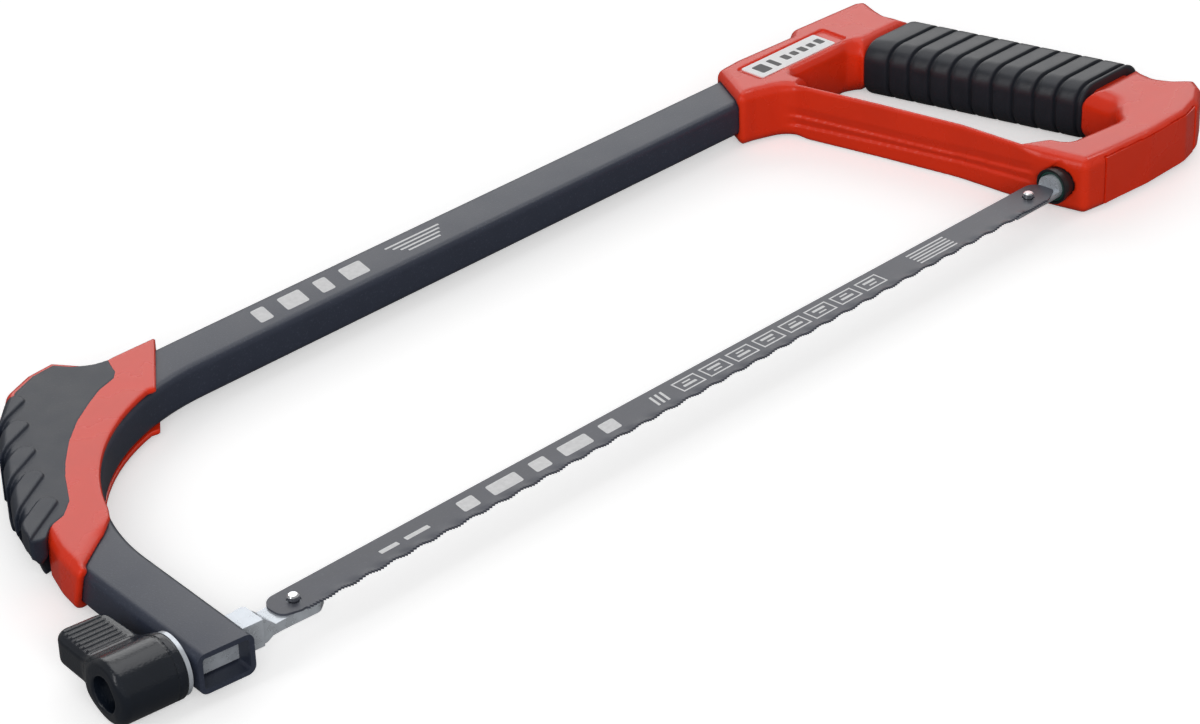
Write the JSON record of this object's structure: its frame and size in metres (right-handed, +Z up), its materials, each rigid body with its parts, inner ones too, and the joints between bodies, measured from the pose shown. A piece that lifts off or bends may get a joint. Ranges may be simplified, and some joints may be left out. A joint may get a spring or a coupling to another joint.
{
  "type": "hacksaw",
  "caption": "Hacksaw with a tubular steel bow, a closed D handle with a grooved rubber grip, a padded nose bumper, a wing-knob tensioner and a fine-toothed blade.",
  "frame": {"origin": "centre of the saw's footprint, on the surface it lies on", "axes": "the saw lies on its side: +X runs along the blade from the nose to the handle, +Y from the blade to the back tube, +Z up out of the saw's plane"},
  "size_m": [0.4476, 0.1472, 0.02],
  "materials": {
    "powder_coat": "satin",
    "red_plastic": "gloss",
    "dark_rubber": "matte",
    "white_plate": "satin",
    "zinc_steel": "satin",
    "pin_steel": "polished",
    "painted_blade": "satin",
    "black_plastic": "satin",
    "seal_rubber": "satin",
    "brass_nut": "satin"
  },
  "bodies": {
    "frame": {"frame_tube": "powder_coat", "bumper_shell": "red_plastic", "bumper_pad": "dark_rubber", "handle_body": "red_plastic", "heel_cover": "red_plastic", "grip_sleeve": "dark_rubber", "label_plate": "white_plate", "handle_screws": "zinc_steel", "holder_grommet": "black_plastic", "holder_oring": "seal_rubber", "anchor_plate": "zinc_steel", "knob_washer": "zinc_steel"},
    "knob": {"tension_knob": "black_plastic", "knob_nut": "brass_nut"},
    "draw_bar": {"front_holder": "zinc_steel", "front_blade_pin": "pin_steel"},
    "rear_hook": {"rear_holder": "zinc_steel", "retaining_pin": "pin_steel", "rear_blade_pin": "pin_steel"},
    "blade": {"saw_blade": "painted_blade"}
  },
  "joints": [
    {"name": "knob_turn", "type": "hinge", "parent": "frame", "child": "knob", "pos_m": [-0.18628, -0.06209, 0.01], "axis": [-0.9945, 0.1045, 0], "range_deg": [0, 540]},
    {"name": "draw_slide", "type": "slide", "parent": "frame", "child": "draw_bar", "axis": [0.9945, -0.1045, 0], "range_m": [0, 0.0015]},
    {"name": "rear_slide", "type": "slide", "parent": "frame", "child": "rear_hook", "axis": [1, 0, 0], "range_m": [0, 0.0015]},
    {"name": "blade_lift", "type": "slide", "parent": "draw_bar", "child": "blade", "axis": [0, 0, 1], "range_m": [0, 0.03]}
  ],
  "couplings": [
    {"joint": "draw_slide", "follows": "knob_turn", "m_per_rad": 0.00015915},
    {"joint": "rear_slide", "follows": "knob_turn", "m_per_rad": 0.00015915}
  ]
}
